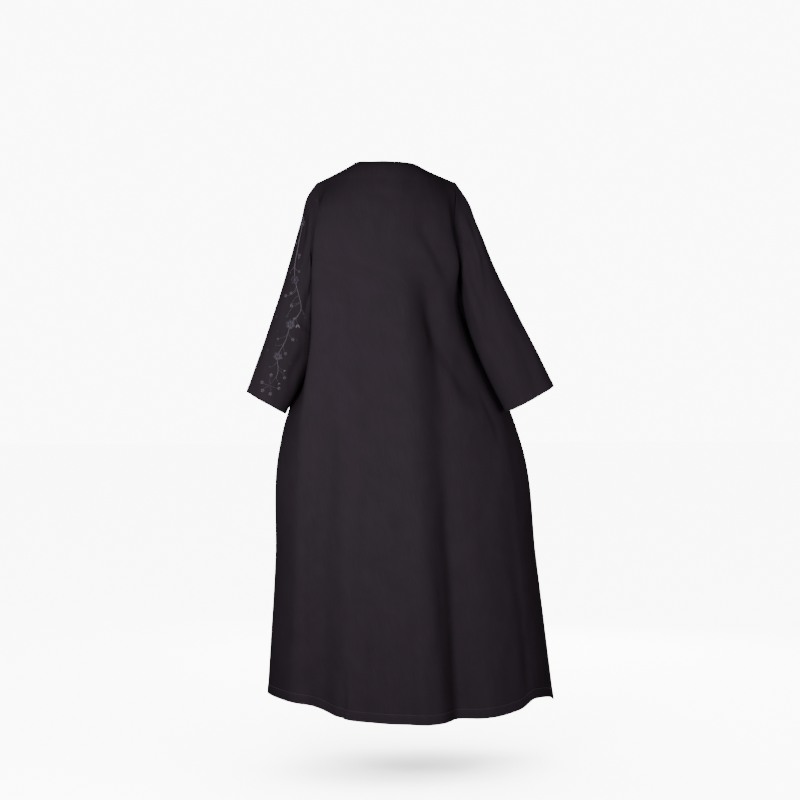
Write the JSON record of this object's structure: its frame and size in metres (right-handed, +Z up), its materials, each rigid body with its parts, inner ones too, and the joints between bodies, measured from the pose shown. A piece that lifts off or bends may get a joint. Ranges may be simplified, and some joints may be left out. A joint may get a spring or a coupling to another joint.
{
  "type": "abaya cloak",
  "caption": "Long black collarless abaya cloak held as worn, with wide straight set-in sleeves, an open front and a flared skirt down to the ankles.",
  "frame": {"origin": "midway between the two points where the shoulder seams meet the neck, where the wearer's shoulders hold the cloak", "axes": "+Z up, fronts face -Y, back faces +Y, so the wearer's left sleeve is at +X"},
  "size_m": [0.7833, 0.4732, 1.3749],
  "materials": {
    "back_cloth": "matte black crepe",
    "front_left_cloth": "matte black crepe",
    "front_right_cloth": "matte black crepe",
    "sleeve_left_cloth": "matte black crepe",
    "sleeve_right_cloth": "matte black crepe"
  },
  "bodies": {
    "root": {"back": "back_cloth", "front_left": "front_left_cloth", "front_right": "front_right_cloth", "sleeve_left": "sleeve_left_cloth", "sleeve_right": "sleeve_right_cloth"}
  },
  "joints": []
}
